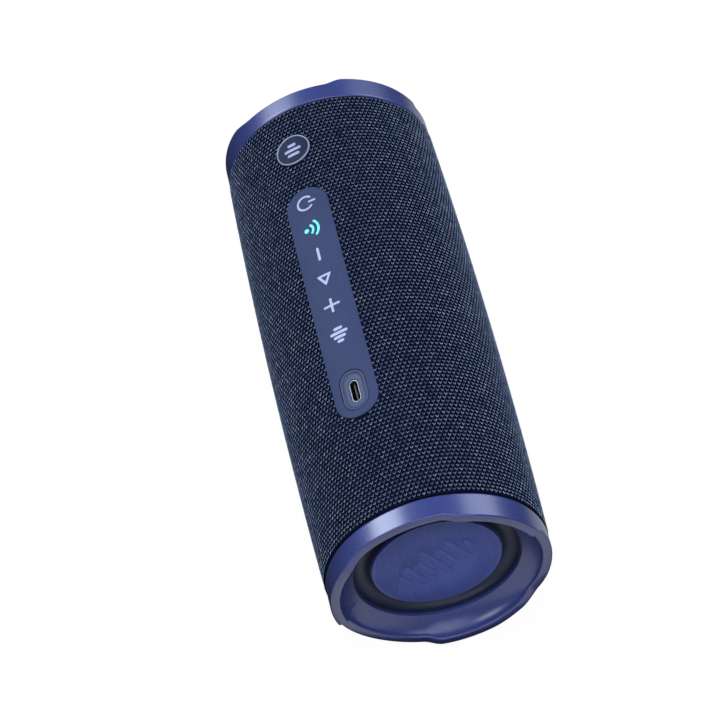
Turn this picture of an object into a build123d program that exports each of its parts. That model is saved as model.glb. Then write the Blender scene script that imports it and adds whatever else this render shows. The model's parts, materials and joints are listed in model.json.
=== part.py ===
from build123d import *
import os
from math import sin, cos, radians, pi, sqrt, hypot

# ---------------------------------------------------------------------------
# Cylindrical two-driver portable speaker, lying on its side.
# Row frame: +X along the cylinder's axis towards the charging-port end,
# -Y is the front the drivers face, +Z is up. Origin: middle of the flat sole
# of the anti-roll foot, so z = 0 is the surface the speaker lies on.
# All lengths in millimetres.
# ---------------------------------------------------------------------------

# driving dimensions ---------------------------------------------------------
R_END = 38.0          # outer radius of the knitted sleeve where it meets a ring
R_BELLY = 39.4        # outer radius of the sleeve at mid length
H_FAB = 89.6          # half length of the sleeve
RING_HI = 8.8         # ring height beyond the sleeve, on the three raised lobes
RING_LO = 6.4         # ring height beyond the sleeve, on the three low arcs
R_RING = 37.5         # outer radius of the end ring's band
AX_Z = 40.5           # height of the cylinder's axis above the surface
TH_STRIP = 117.2      # direction of the control strip, degrees from +Y towards +Z
T_FAB = 0.8           # sleeve thickness
T_CAGE = 1.5          # grille cage thickness
G = 0.05              # assembly gap between nested curved faces

STRIP_L, STRIP_W, STRIP_X = 101.8, 16.0, 0.1      # control strip, over all
CORE_L, CORE_W = 99.4, 13.6                       # its core, through the cage
KEY_R = 4.5
KEY_X = {"key_power": -44.0, "key_pairing": -31.9, "key_volume_down": -20.0,
         "key_play": -8.7, "key_volume_up": 3.3, "key_mode": 16.3}
KEY_TRAVEL = 0.5
PORT_X, PORT_L, PORT_W = 40.1, 16.2, 9.3          # oval insert of the charging port
USB_L, USB_W = 8.94, 3.26                         # outside of the receptacle's shell
BADGE_X, BADGE_R = -70.2, 6.5

PLATE_R = 22.0        # passive radiator disc
BOWL_R = 28.4         # inner edge of the ring's bowl
PR_TRAVEL = 2.5
SHELL_RO, SHELL_RI = 34.0, 32.0
S_SHELL = -3.8        # end of the shells, measured from the sleeve's end plane
BOSS_R, BOSS_C = 2.3, 31.6

DX = 47.0             # distance of each driver from mid length
BAF = -26.9           # y of the baffle's front face
CELL_R, CELL_L = 9.2, 65.0

FOOT_L, FOOT_W = 130.0, 18.0

os.makedirs("parts", exist_ok=True)
NODES = {}


def put(name, shape):
    """Move a finished piece from the axis frame up to the row frame and keep it."""
    shape = Pos(0, 0, AX_Z) * shape
    NODES[name] = shape
    export_step(shape, f"parts/{name}.step")


def cyl_x(r, x0, x1, y=0.0, z=0.0):
    return Pos((x0 + x1) / 2, y, z) * Rot(0, 90, 0) * Cylinder(r, x1 - x0)


def tube_x(ro, ri, x0, x1):
    return cyl_x(ro, x0, x1) - cyl_x(ri, x0 - 1, x1 + 1)


def cyl_y(r, x, z, y0, y1):
    return Pos(x, (y0 + y1) / 2, z) * Rot(90, 0, 0) * Cylinder(r, y1 - y0)


def box(x0, x1, y0, y1, z0, z1):
    return Pos((x0 + x1) / 2, (y0 + y1) / 2, (z0 + z1) / 2) * Box(x1 - x0, y1 - y0, z1 - z0)


def spin(pts, axis=Axis.X, angle=360):
    """Revolve a closed polygon given as (axial, radial) about the X axis."""
    return revolve(make_face(Polyline(*pts, close=True)), axis, angle)


def barrel(offset, half):
    """Solid bounded by the sleeve's outer surface moved outwards by offset."""
    def r(x):
        return R_END + (R_BELLY - R_END) * (1 - (x / H_FAB) ** 2) + offset
    arc = ThreePointArc((-half, r(half)), (0, r(0)), (half, r(half)))
    rest = Polyline((half, r(half)), (half, 0), (-half, 0), (-half, r(half)))
    return revolve(make_face(Curve() + [arc, rest]), Axis.X, 360)


def r_out(x):
    return R_END + (R_BELLY - R_END) * (1 - (x / H_FAB) ** 2)


def lens(length, width):
    """Stadium outline, long axis along local x."""
    return SlotOverall(length, width)


# local frame of the strip: x along the cylinder, z outwards, origin on the axis
TS = radians(TH_STRIP)
NX, NY, NZ = 0.0, cos(TS), sin(TS)
STRIP = Plane(origin=(0, 0, 0), x_dir=(1, 0, 0), z_dir=(NX, NY, NZ))
DOWN = Plane(origin=(0, 0, 0), x_dir=(1, 0, 0), z_dir=(0, 0, -1))


def prism(frame, outline, x, n0, n1):
    """Prism of an outline in a local frame, from height n0 to n1."""
    return frame * Pos(x, 0, n0) * extrude(outline, n1 - n0)


# sleeve, cage, foot ---------------------------------------------------------
strip_hole = prism(STRIP, lens(STRIP_L + 0.2, STRIP_W + 0.2), STRIP_X, 20, 50)
badge_hole = prism(STRIP, Circle(BADGE_R + 0.1), BADGE_X, 20, 50)
foot_hole = prism(DOWN, lens(FOOT_L + 0.2, FOOT_W + 0.2), 0, 20, 50)

sleeve = barrel(0, H_FAB - 0.1) - barrel(-T_FAB, H_FAB - 0.1)
sleeve = sleeve - strip_hole - badge_hole - foot_hole
put("fabric_sleeve", sleeve)

cage = barrel(-T_FAB - G, H_FAB - 0.2) - barrel(-T_FAB - G - T_CAGE, H_FAB - 0.2)
cage -= prism(STRIP, lens(CORE_L + 0.4, CORE_W + 0.4), STRIP_X, 20, 50)
for d in (-DX, DX):
    for i in range(6):
        for k in (-1, 0, 1):
            cage -= box(d - 16.25 + 6.1 * i, d - 13.25 + 6.1 * i, -45, -20,
                        k * 9.6 - 3.6, k * 9.6 + 3.6)
put("grille_cage", cage)

foot = prism(DOWN, lens(FOOT_L, FOOT_W), 0, 30, AX_Z) - barrel(-T_FAB, H_FAB - 0.2)
foot = foot.solids().sort_by(Axis.Z)[0]
foot = chamfer(foot.faces().sort_by(Axis.Z)[0].edges(), 0.4)
put("foot_strip", foot)

# badge ----------------------------------------------------------------------
b0 = r_out(BADGE_X) - 1.25
badge = prism(STRIP, Circle(BADGE_R), BADGE_X, b0 - 4, b0 + 2.0) & barrel(0.0, 88)
badge = badge - barrel(-T_FAB, 88)
b_ring = prism(STRIP, Circle(BADGE_R), BADGE_X, b0 - 4, b0 + 4) \
    - prism(STRIP, Circle(BADGE_R - 0.7), BADGE_X, b0 - 5, b0 + 5)
badge_ring = (b_ring & barrel(0.25, 88)) - barrel(-T_FAB, 88)
badge_plate = badge & prism(STRIP, Circle(BADGE_R - 0.7), BADGE_X, b0 - 4, b0 + 4) \
    & barrel(-0.1, 88)
put("badge_ring", badge_ring)
put("badge_plate", badge_plate)

# control strip and keys -----------------------------------------------------
flange = (prism(STRIP, lens(STRIP_L, STRIP_W), STRIP_X, 30, 45) & barrel(0.0, 88)) \
    - barrel(-T_FAB, 88)
core = prism(STRIP, lens(CORE_L, CORE_W), STRIP_X, 36.0, 45) & barrel(-0.2, 88)
strip = flange + core
for name, x in KEY_X.items():
    strip -= prism(STRIP, Circle(KEY_R + 0.1), x, 30, 45)
strip -= prism(STRIP, lens(PORT_L + 0.1, PORT_W + 0.1), PORT_X, 30, 45)
put("control_strip", strip)

for name, x in KEY_X.items():
    pad = prism(STRIP, Circle(KEY_R), x, 36.9, 45) & barrel(0.0, 88)
    stem = prism(STRIP, Circle(1.4), x, 36.35, 37.2)
    put(name, pad + stem)

board = prism(STRIP, Rectangle(82, 11), -8, 34.3, 35.1)
put("key_board", board)
switches = []
for name, x in KEY_X.items():
    sw = prism(STRIP, Rectangle(4.2, 4.2), x, 35.1, 35.6) + prism(STRIP, Circle(1.5), x, 35.5, 35.8)
    switches.append(sw)
put("key_switches", Compound(switches))
put("pairing_led", prism(STRIP, Rectangle(1.6, 0.8), KEY_X["key_pairing"] + 3.0, 35.1, 35.7))

# charging port --------------------------------------------------------------
usb_hole = prism(STRIP, lens(USB_L + 0.1, USB_W + 0.1), PORT_X, 20, 50)
port_face = r_out(PORT_X) - 1.0        # floor of the oval dish
bez = prism(STRIP, lens(PORT_L, PORT_W), PORT_X, 36.0, 45) & barrel(-0.05, 88)
dish = prism(STRIP, lens(PORT_L - 1.4, PORT_W - 1.4), PORT_X, port_face, 45)
put("usb_bezel", bez - dish - usb_hole)
mouth = port_face - 0.15
usb_shell = prism(STRIP, lens(USB_L, USB_W), PORT_X, 30.9, mouth) \
    - prism(STRIP, lens(USB_L - 0.6, USB_W - 0.7), PORT_X, 31.4, 50)
put("usb_shell", usb_shell)
put("usb_tongue", prism(STRIP, Rectangle(6.7, 0.7), PORT_X, 31.4, mouth - 0.9))
put("usb_board", prism(STRIP, Rectangle(16, 11), PORT_X, 29.9, 30.9))

# end rings ------------------------------------------------------------------
S0 = H_FAB


def ring_profile(h):
    """Closed section (axial, radial) of the ring with crest height h."""
    outer = Polyline((S0, R_RING), (S0 + h - 1.8, R_RING))
    q = 1.8 * (1 - cos(pi / 4))
    lip_o = ThreePointArc((S0 + h - 1.8, R_RING), (S0 + h - q, R_RING - q), (S0 + h, R_RING - 1.8))
    land = Line((S0 + h, R_RING - 1.8), (S0 + h, R_RING - 2.6))
    q = 0.8 * (1 - cos(pi / 4))
    lip_i = ThreePointArc((S0 + h, R_RING - 2.6), (S0 + h - q, R_RING - 3.4 + q), (S0 + h - 0.8, R_RING - 3.4))
    inner = Polyline((S0 + h - 0.8, R_RING - 3.4), (S0 + 5.2, R_RING - 3.7), (S0 + 0.8, BOWL_R),
                     (S0 - 0.3, BOWL_R), (S0 - 0.3, BOWL_R + 1.0), (S0 + 3.2, 33.4), (S0 + 3.2, 34.2),
                     (S0 - 5.0, 34.2), (S0 - 5.0, 35.55), (S0, 35.55), (S0, R_RING))
    return make_face(Curve() + [outer, lip_o, land, lip_i, inner])


def end_ring():
    low = revolve(ring_profile(RING_LO), Axis.X, 360)
    ring = low
    ramp = 4.0
    for k in range(3):
        # raised lobes lie 60 degrees either side of the strip and opposite it
        mid = TH_STRIP + 60 + 120 * k
        half = 33.0
        sec = revolve(ring_profile(RING_HI), Axis.X, 2 * half)   # starts in the +Y direction
        sec = Rot(mid - half, 0, 0) * sec
        for sgn in (-1, 1):
            # plane of the ramp: from the low crest at the lobe's end up to the high crest
            t = radians(mid + sgn * half)
            rad = (0, cos(t), sin(t))
            tang = (0, -sin(t) * sgn, cos(t) * sgn)
            slope = radians(38)
            nrm = (cos(slope), sin(slope) * tang[1], sin(slope) * tang[2])
            o = (S0 + RING_LO - 0.4, 35 * cos(t), 35 * sin(t))
            pl = Plane(origin=o, x_dir=rad, z_dir=nrm)
            sec -= pl * Pos(0, 0, 15) * Box(30, 30, 30)
        ring += sec
    return ring


ring_r = end_ring()
put("end_ring_right", ring_r)
put("end_ring_left", mirror(ring_r, about=Plane.YZ))

# passive radiators ----------------------------------------------------------
SCREW_A = (45.0, 135.0, 225.0, 315.0)


def around(a, r):
    return r * cos(radians(a)), r * sin(radians(a))


def both(name, shape):
    put(name + "_right", shape)
    put(name + "_left", mirror(shape, about=Plane.YZ))


plate = cyl_x(PLATE_R, S0 - 1.6, S0 - 0.1)
plate = chamfer(plate.faces().sort_by(Axis.X)[-1].edges(), 0.3)
both("radiator_plate", plate)
both("radiator_weight", cyl_x(12.0, S0 - 4.6, S0 - 1.6))

# rubber surround: glued under the disc's edge, a roll that dips inwards, glued to the frame
RM, RW = 25.2, 2.75
sur = Curve() + [
    Polyline((S0 - 0.3, 29.8), (S0 - 0.3, RM + RW + 0.25)),
    ThreePointArc((S0 - 0.3, RM + RW + 0.25), (S0 - 3.85, RM), (S0 - 1.65, RM - RW - 0.25)),
    Polyline((S0 - 1.65, RM - RW - 0.25), (S0 - 1.65, 20.4), (S0 - 2.1, 20.4), (S0 - 2.1, RM - RW + 0.0)),
    ThreePointArc((S0 - 2.1, RM - RW + 0.0), (S0 - 4.35, RM), (S0 - 0.8, RM + RW + 0.1)),
    Polyline((S0 - 0.8, RM + RW + 0.1), (S0 - 0.8, 29.8), (S0 - 0.3, 29.8)),
]
both("radiator_surround", revolve(make_face(sur), Axis.X, 360))

frame = tube_x(34.1, 28.5, S0 - 3.3, S0 - 0.8)
gasket = tube_x(33.95, 32.05, S0 - 3.8, S0 - 3.3)
screws = []
for a in SCREW_A:
    y, z = around(a, 31.9)
    frame -= cyl_x(1.15, S0 - 5, S0 + 1, y, z)
    gasket -= cyl_x(1.3, S0 - 5, S0 + 1, y, z)
    screws.append(cyl_x(1.0, S0 - 9.0, S0 - 0.8, y, z) + cyl_x(1.85, S0 - 0.8, S0, y, z)
                  - box(S0 - 0.4, S0 + 1, y - 0.3, y + 0.3, z - 1.1, z + 1.1)
                  - box(S0 - 0.4, S0 + 1, y - 1.1, y + 1.1, z - 0.3, z + 0.3))
both("radiator_frame", frame)
both("end_gasket", gasket)
put("end_screws", Compound(screws + [mirror(s, about=Plane.YZ) for s in screws]))

# acoustic enclosure ---------------------------------------------------------
XS = S0 + S_SHELL
tube = tube_x(SHELL_RO, SHELL_RI, -XS, XS)
clip = cyl_x(SHELL_RO, -XS, XS)
for sx in (-1, 1):
    for a in SCREW_A:
        y, z = around(a, BOSS_C)
        x0, x1 = sorted((sx * XS, sx * (XS - 9)))
        tube += cyl_x(BOSS_R, x0, x1, y, z) & clip
for sx in (-1, 1):
    for a in SCREW_A:
        y, z = around(a, 31.9)
        x0, x1 = sorted((sx * (XS + 1), sx * (XS - 7)))
        tube -= cyl_x(1.03, x0, x1, y, z)
for d in (-DX, DX):
    tube -= cyl_y(21.5, d, 0, -40, BAF)
    tube -= cyl_y(18.6, d, 0, -40, -20)
    pod = (cyl_y(23.5, d, 0, -34, BAF + 2) - cyl_y(21.5, d, 0, -40, BAF)) \
        - cyl_y(18.6, d, 0, -40, -20)
    tube += pod & clip
    for a in (45, 135, 225, 315):
        tube -= cyl_y(0.6, d + 19.6 * cos(radians(a)), 19.6 * sin(radians(a)), BAF - 1, BAF + 1.6)
# pedestal for the key board, seat and window for the receptacle
tube += prism(STRIP, Rectangle(76, 6), -8, 33.0, 34.3)
tube += prism(STRIP, Rectangle(1.6, 5), PORT_X - 6.6, 30.9, 33) + prism(STRIP, Rectangle(1.6, 5), PORT_X + 6.6, 30.9, 33)
tube -= prism(STRIP, lens(USB_L + 0.5, USB_W + 0.5), PORT_X, 25, 36)
# posts for the main board on the rear wall
for x in (-50, 50):
    for z in (-14, 14):
        tube += cyl_y(2.2, x, z, 21.6, 29.4)
front = tube & box(-100, 100, -60, 0, -60, 60)
rear = tube & box(-100, 100, 0, 60, -60, 60)
put("front_shell", front)
put("rear_shell", rear)

# drivers --------------------------------------------------------------------


def spin_y(pts, x):
    """Revolve a closed polygon given as (radius, y) about the line x, z = 0 along Y."""
    f = make_face(Polyline(*[(x + r, y) for r, y in pts], close=True))
    return revolve(f, Axis((x, 0, 0), (0, 1, 0)), 360)


CAP_R = 11.9          # outer radius of the dust cap's dome
dscrews = []
for side, d in (("left", -DX), ("right", DX)):
    bk = spin_y([(17.6, -28.6), (20.8, -28.6), (20.8, -27.4), (18.3, -27.4), (15.0, -19.6),
                 (13.4, -16.0), (13.4, -15.0), (8.2, -15.0), (8.2, -16.0), (12.6, -16.0),
                 (13.9, -18.9), (12.6, -18.9), (12.6, -19.5), (14.2, -19.6), (17.4, -27.2)], d)
    for a in (0, 90, 180, 270):
        w = Pos(d, -23.4, 0) * Rot(0, a, 0) * Pos(14, 0, 0) * Box(16, 5.0, 11)
        bk -= w
    gs = cyl_y(20.8, d, 0, -27.4, BAF) - cyl_y(18.8, d, 0, -28, BAF + 1)
    for a in (45, 135, 225, 315):
        sx, sz = d + 19.6 * cos(radians(a)), 19.6 * sin(radians(a))
        bk -= cyl_y(0.75, sx, sz, -30, -25)
        gs -= cyl_y(0.9, sx, sz, -30, -25)
        dscrews.append(cyl_y(0.58, sx, sz, -28.6, BAF + 1.5) + cyl_y(1.1, sx, sz, -29.3, -28.6))
    put(f"driver_basket_{side}", bk)
    put(f"driver_gasket_{side}", gs)
    put(f"driver_magnet_{side}", spin_y([(0, -15.6), (6.1, -15.6), (6.1, -8.0), (8.1, -8.0),
                                         (8.1, -15.0), (12.6, -15.0), (12.6, -5.6), (0, -5.6)], d))
    put(f"driver_voice_coil_{side}", spin_y([(6.8, -22.2), (7.3, -22.2), (7.3, -11.5), (6.8, -11.5)], d))
    put(f"driver_cone_{side}", spin_y([(7.3, -22.2), (7.3, -21.6), (15.2, -27.75), (15.2, -28.3)], d))
    dome = Pos(d, -25.4 + CAP_R, 0) * (Sphere(CAP_R) - Sphere(CAP_R - 0.5))
    put(f"driver_dust_cap_{side}", dome & cyl_y(7.3, d, 0, -26.5, -22.25))
    sr = Curve() + [Polyline((d + 20.4, -28.65), (d + 20.4, -29.05), (d + 18.55, -29.05)),
                    ThreePointArc((d + 18.55, -29.05), (d + 16.7, -30.55), (d + 14.85, -28.85)),
                    Polyline((d + 14.85, -28.85), (d + 13.9, -28.75), (d + 13.9, -28.35), (d + 15.25, -28.4)),
                    ThreePointArc((d + 15.25, -28.4), (d + 16.7, -30.1), (d + 18.2, -28.65)),
                    Line((d + 18.2, -28.65), (d + 20.4, -28.65))]
    srs = revolve(make_face(sr), Axis((d, 0, 0), (0, 1, 0)), 360)
    for a in (45, 135, 225, 315):
        srs -= cyl_y(1.3, d + 19.6 * cos(radians(a)), 19.6 * sin(radians(a)), -31, -28)
    put(f"driver_surround_{side}", srs)
    put(f"driver_spider_{side}", spin_y([(7.4, -20.0), (8.6, -20.0), (9.4, -20.5), (10.2, -20.0), (11.0, -20.5),
                                         (11.8, -20.0), (13.6, -19.95), (13.6, -19.6), (11.8, -19.65), (11.0, -20.15),
                                         (10.2, -19.65), (9.4, -20.15), (8.6, -19.65), (7.4, -19.65)], d))
put("driver_screws", Compound(dscrews))

# battery, boards, leads -----------------------------------------------------
CY, CZ = 5.0, 9.7
cells = []
for z in (-CZ, CZ):
    c = cyl_x(CELL_R, -CELL_L / 2, CELL_L / 2, CY, z)
    cells.append(fillet(c.edges(), 0.8) + cyl_x(2.8, CELL_L / 2 - 0.5, CELL_L / 2 + 0.8, CY, z))
put("battery_cells", Compound(cells))
holder = box(-36.5, 36.5, CY + 0.5, CY + 12.0, -20.5, 20.5)
for z in (-CZ, CZ):
    holder -= cyl_x(CELL_R + 0.1, -CELL_L / 2 - 0.3, CELL_L / 2 + 1.0, CY, z)
for x in (-30, 30):
    for z in (-14, 14):
        holder += cyl_y(2.0, x, z, CY + 11.0, 20.0)
put("battery_holder", holder)
mb = box(-58, 58, 20.0, 21.6, -19, 19)
for x in (-50, 50):
    for z in (-14, 14):
        mb -= cyl_y(0.9, x, z, 19, 23)
put("main_board", mb)
chips = [box(-8, 8, 21.6, 22.8, -6, 6), box(14, 24, 21.6, 22.9, -9, 1), box(-34, -22, 21.6, 24.4, -9, 3),
         box(30, 37, 21.6, 23.0, 3, 10), box(-20, -12, 21.6, 22.6, 9, 15),
         cyl_y(3.1, 44, -3, 21.6, 26.4), cyl_y(3.1, -44, -3, 21.6, 26.4),
         box(48, 56, 14.5, 20.0, -8, 8), box(-56, -48, 14.5, 20.0, -8, 8)]
put("board_parts", Compound(chips))


def wire(pts, rad, r=0.55):
    path = FilletPolyline(*pts, radius=rad)
    prof = Plane(origin=path @ 0, z_dir=path % 0) * Circle(r)
    w = sweep(prof, path=path)
    length = path.length
    print("wire volume ratio", round(w.volume / (pi * r * r * length), 4), "length", round(length, 1))
    return w


leads = []
for sx in (-1, 1):
    for dz in (-1.2, 1.2):
        # from the plug on the main board, past the magnet, to the terminal on the basket
        leads.append(wire([(sx * 52, 14.5, dz * 2), (sx * 52, 6, dz * 2), (sx * 62.5, -4, dz), (sx * 62.5, -15.0, dz)],
                          3.4))
put("speaker_leads", Compound(leads))
bl = []
for sz in (-1, 1):
    bl.append(wire([(CELL_L / 2 + 0.8, 4.5, sz * CZ), (39.5, 4.5, sz * CZ), (50.2, 6.0, sz * 5.5), (50.2, 14.5, sz * 5.5)],
                   2.4))
put("battery_leads", Compound(bl))

total = sum(len(v.solids()) for v in NODES.values())
print("nodes", len(NODES), "solids", total)
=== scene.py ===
import json
import math

import bpy
import bmesh
import numpy as np
from mathutils import Matrix, Vector

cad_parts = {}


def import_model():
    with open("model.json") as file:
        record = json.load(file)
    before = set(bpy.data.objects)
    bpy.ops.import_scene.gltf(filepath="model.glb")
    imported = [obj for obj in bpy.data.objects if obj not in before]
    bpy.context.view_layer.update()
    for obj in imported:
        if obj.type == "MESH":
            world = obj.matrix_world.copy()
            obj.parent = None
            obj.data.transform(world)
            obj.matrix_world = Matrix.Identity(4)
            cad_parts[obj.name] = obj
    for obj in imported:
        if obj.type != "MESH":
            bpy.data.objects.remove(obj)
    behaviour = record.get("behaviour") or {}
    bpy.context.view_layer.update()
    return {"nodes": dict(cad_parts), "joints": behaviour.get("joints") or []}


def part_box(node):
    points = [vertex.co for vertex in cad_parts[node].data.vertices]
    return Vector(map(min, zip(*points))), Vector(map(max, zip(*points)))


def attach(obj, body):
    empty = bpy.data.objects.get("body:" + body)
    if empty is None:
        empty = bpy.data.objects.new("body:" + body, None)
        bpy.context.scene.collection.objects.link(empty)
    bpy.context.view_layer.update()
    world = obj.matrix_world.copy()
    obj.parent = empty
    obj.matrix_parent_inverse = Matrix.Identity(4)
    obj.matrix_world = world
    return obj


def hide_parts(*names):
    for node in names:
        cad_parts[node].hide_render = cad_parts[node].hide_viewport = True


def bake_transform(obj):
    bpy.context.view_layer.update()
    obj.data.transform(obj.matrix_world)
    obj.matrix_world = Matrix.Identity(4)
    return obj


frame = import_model()
SC = bpy.context.scene
MM = 0.001
FLOOR_ALBEDO, AMBIENT = 0.03, 0.045
LIGHTS = (10.6, 4.7, 25.0)

# ------------------------------------------------------------------ places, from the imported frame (mm)
def cad(node):
    lo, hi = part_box(node)
    return np.array(lo) / MM, np.array(hi) / MM

_l, _h = cad("radiator_plate_right")
AZ = (_l[2] + _h[2]) / 2                       # height of the cylinder's axis
PLATE_R = (_h[2] - _l[2]) / 2
PLATE_X = _h[0]                                # front face of the right disc
H = PLATE_X + 0.1                              # half length of the sleeve
_l, _h = cad("fabric_sleeve")
R_BELLY = _h[1]
_l, _h = cad("end_ring_right")
R_RING = (_h[1] - _l[1]) / 2
RING_HI = _h[0] - H
RING_LO = RING_HI - 2.4
LOW, HIGH = RING_LO + 0.5, RING_HI - 0.2        # crest over the low arcs and over the raised lobes
R_END = R_BELLY - 1.4
_l, _h = cad("control_strip")
STRIP_L, STRIP_X = _h[0] - _l[0], (_h[0] + _l[0]) / 2
STRIP_W = 16.0
joint = {j["name"]: j for j in frame["joints"]}
ax = joint["key_play_press"]["axis"]
N = -np.array(ax, float)
N /= np.linalg.norm(N)
TH = math.degrees(math.atan2(N[2], N[1]))      # direction of the strip round the axis
T = np.cross(N, [1.0, 0, 0])                   # upwards for the symbols


def centre_x(node):
    lo, hi = cad(node)
    return (lo[0] + hi[0]) / 2


KEYS = ["power", "pairing", "volume_down", "play", "volume_up", "mode"]
KEY_X = {k: centre_x("key_" + k) for k in KEYS}
KEY_R = 4.5
PORT_X, PORT_L, PORT_W = centre_x("usb_bezel"), 16.2, 9.3
USB_X = centre_x("usb_shell")
BADGE_X = centre_x("badge_ring")
_l, _h = cad("badge_ring")
BADGE_R = (_h[0] - _l[0]) / 2
_l, _h = cad("foot_strip")
FOOT_L, FOOT_W = _h[0] - _l[0], _h[1] - _l[1]
S = {"left": -1, "right": 1}


def r_out(x):
    """Outer radius of the knitted sleeve at x."""
    return R_END + (R_BELLY - R_END) * (1 - (x / H) ** 2)


def on_axis(x, r, th):
    """Points at x, radius r and angle th (degrees from +Y towards +Z)."""
    t = np.radians(th)
    x, r, t = np.broadcast_arrays(np.asarray(x, float), np.asarray(r, float), t)
    return np.stack([x, r * np.cos(t), AZ + r * np.sin(t)], -1)


def on_strip(x, w, off):
    """Points over the strip's centre line frame: x along, w across, off above the sleeve's surface."""
    x, w, off = np.broadcast_arrays(np.asarray(x, float), np.asarray(w, float), np.asarray(off, float))
    n = np.sqrt(np.maximum((r_out(x) + off) ** 2 - w ** 2, 0))
    return np.stack([x, w * T[1] + n * N[1], AZ + w * T[2] + n * N[2]], -1)


# ------------------------------------------------------------------ mesh helpers
def obj(name, verts, faces, mats=(), smooth=True, sharp=35, fmat=None):
    me = bpy.data.meshes.new(name)
    me.from_pydata((np.asarray(verts, float) * MM).tolist(), [], [list(map(int, f)) for f in faces])
    me.validate(clean_customdata=False)
    if smooth:
        me.polygons.foreach_set("use_smooth", [True] * len(me.polygons))
        if sharp:
            me.set_sharp_from_angle(angle=math.radians(sharp))
    for m in mats:
        me.materials.append(m)
    if fmat is not None:
        me.polygons.foreach_set("material_index", np.asarray(fmat, np.int32))
    me.update()
    o = bpy.data.objects.new(name, me)
    SC.collection.objects.link(o)
    return o


def clean(o, dist=2e-6):
    """Welds and makes the normals point outwards."""
    bm = bmesh.new()
    bm.from_mesh(o.data)
    bmesh.ops.remove_doubles(bm, verts=bm.verts, dist=dist)
    bmesh.ops.recalc_face_normals(bm, faces=bm.faces)
    bm.to_mesh(o.data)
    bm.free()
    o.data.polygons.foreach_set("use_smooth", [True] * len(o.data.polygons))
    return o


def sharpen(o, deg=35):
    o.data.set_sharp_from_angle(angle=math.radians(deg))
    return o


def lathe(name, sections, closed=True, mats=(), sharp=35, th0=0.0, x_sign=1):
    """sections: array (n_theta, n_pts, 2) of (x, r) round a full turn; closed sections make a torus-like solid."""
    sec = np.asarray(sections, float)
    nt, npt = sec.shape[:2]
    th = th0 + 360.0 * np.arange(nt) / nt
    v = on_axis(sec[:, :, 0] * x_sign, sec[:, :, 1], th[:, None]).reshape(-1, 3)
    idx = np.arange(nt * npt).reshape(nt, npt)
    a, b = idx, np.roll(idx, -1, 0)
    f = []
    last = npt if closed else npt - 1
    for k in range(last):
        k2 = (k + 1) % npt
        f.append(np.stack([a[:, k], a[:, k2], b[:, k2], b[:, k]], -1))
    f = np.concatenate(f)
    o = obj(name, v, f.tolist(), mats, sharp=None)
    clean(o)
    return sharpen(o, sharp)


def arc(cx, cy, r, a0, a1, n):
    a = np.radians(np.linspace(a0, a1, n))
    return [(cx + r * math.cos(t), cy + r * math.sin(t)) for t in a]


def bezier(p0, p1, p2, n):
    t = np.linspace(0, 1, n)[:, None]
    p0, p1, p2 = map(np.array, (p0, p1, p2))
    return [tuple(q) for q in (1 - t) ** 2 * p0 + 2 * t * (1 - t) * p1 + t * t * p2]


def smooth(t):
    t = np.clip(t, 0, 1)
    return t * t * (3 - 2 * t)


# ------------------------------------------------------------------ materials
def srgb(*c):
    return tuple(((x / 255) / 12.92 if x / 255 <= 0.04045 else ((x / 255 + 0.055) / 1.055) ** 2.4) for x in c)


def base_mat(name, color, rough, metallic=0.0, **sockets):
    m = bpy.data.materials.new(name)
    m.use_nodes = True
    nt = m.node_tree
    p = nt.nodes["Principled BSDF"]
    p.inputs["Base Color"].default_value = (*color, 1)
    p.inputs["Roughness"].default_value = rough
    p.inputs["Metallic"].default_value = metallic
    for k, v in sockets.items():
        p.inputs[k.replace("_", " ")].default_value = v
    return m, nt, p


def noise_at(nt, scale, detail=3.0, rough=0.55, stretch=(1, 1, 1)):
    tc = nt.nodes.new("ShaderNodeTexCoord")
    mp = nt.nodes.new("ShaderNodeMapping")
    mp.inputs["Scale"].default_value = stretch
    nz = nt.nodes.new("ShaderNodeTexNoise")
    nz.inputs["Scale"].default_value = scale
    nz.inputs["Detail"].default_value = detail
    nz.inputs["Roughness"].default_value = rough
    nt.links.new(tc.outputs["Object"], mp.inputs["Vector"])
    nt.links.new(mp.outputs["Vector"], nz.inputs["Vector"])
    return nz.outputs["Fac"]


def ramp(nt, fac, lo, hi, a=0.35, b=0.65):
    r = nt.nodes.new("ShaderNodeValToRGB")
    r.color_ramp.elements[0].position = a
    r.color_ramp.elements[1].position = b
    r.color_ramp.elements[0].color = (*lo, 1)
    r.color_ramp.elements[1].color = (*hi, 1)
    nt.links.new(fac, r.inputs["Fac"])
    return r.outputs["Color"]


def scalar(nt, fac, lo, hi):
    mr = nt.nodes.new("ShaderNodeMapRange")
    mr.inputs["To Min"].default_value = lo
    mr.inputs["To Max"].default_value = hi
    mr.inputs["From Min"].default_value = 0.3
    mr.inputs["From Max"].default_value = 0.7
    nt.links.new(fac, mr.inputs["Value"])
    return mr.outputs["Result"]


def bump(nt, p, height, strength, dist):
    b = nt.nodes.new("ShaderNodeBump")
    b.inputs["Strength"].default_value = strength
    b.inputs["Distance"].default_value = dist
    nt.links.new(height, b.inputs["Height"])
    nt.links.new(b.outputs["Normal"], p.inputs["Normal"])


def grained(name, color, rough, var=0.12, grain=2600.0, amount=0.10, rvar=0.05, metallic=0.0, tint=None, **sockets):
    """Moulded plastic, rubber or metal: a little colour drift, a fine grain in roughness and in bump."""
    m, nt, p = base_mat(name, color, rough, metallic, **sockets)
    lo = tuple(c * (1 - var) for c in color)
    hi = tuple(min(1, c * (1 + var)) for c in (tint or color))
    nt.links.new(ramp(nt, noise_at(nt, 55.0, 4.0), lo, hi), p.inputs["Base Color"])
    g = noise_at(nt, grain, 2.0)
    nt.links.new(scalar(nt, g, rough - rvar, rough + rvar), p.inputs["Roughness"])
    bump(nt, p, g, amount, 0.00005)
    return m


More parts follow.
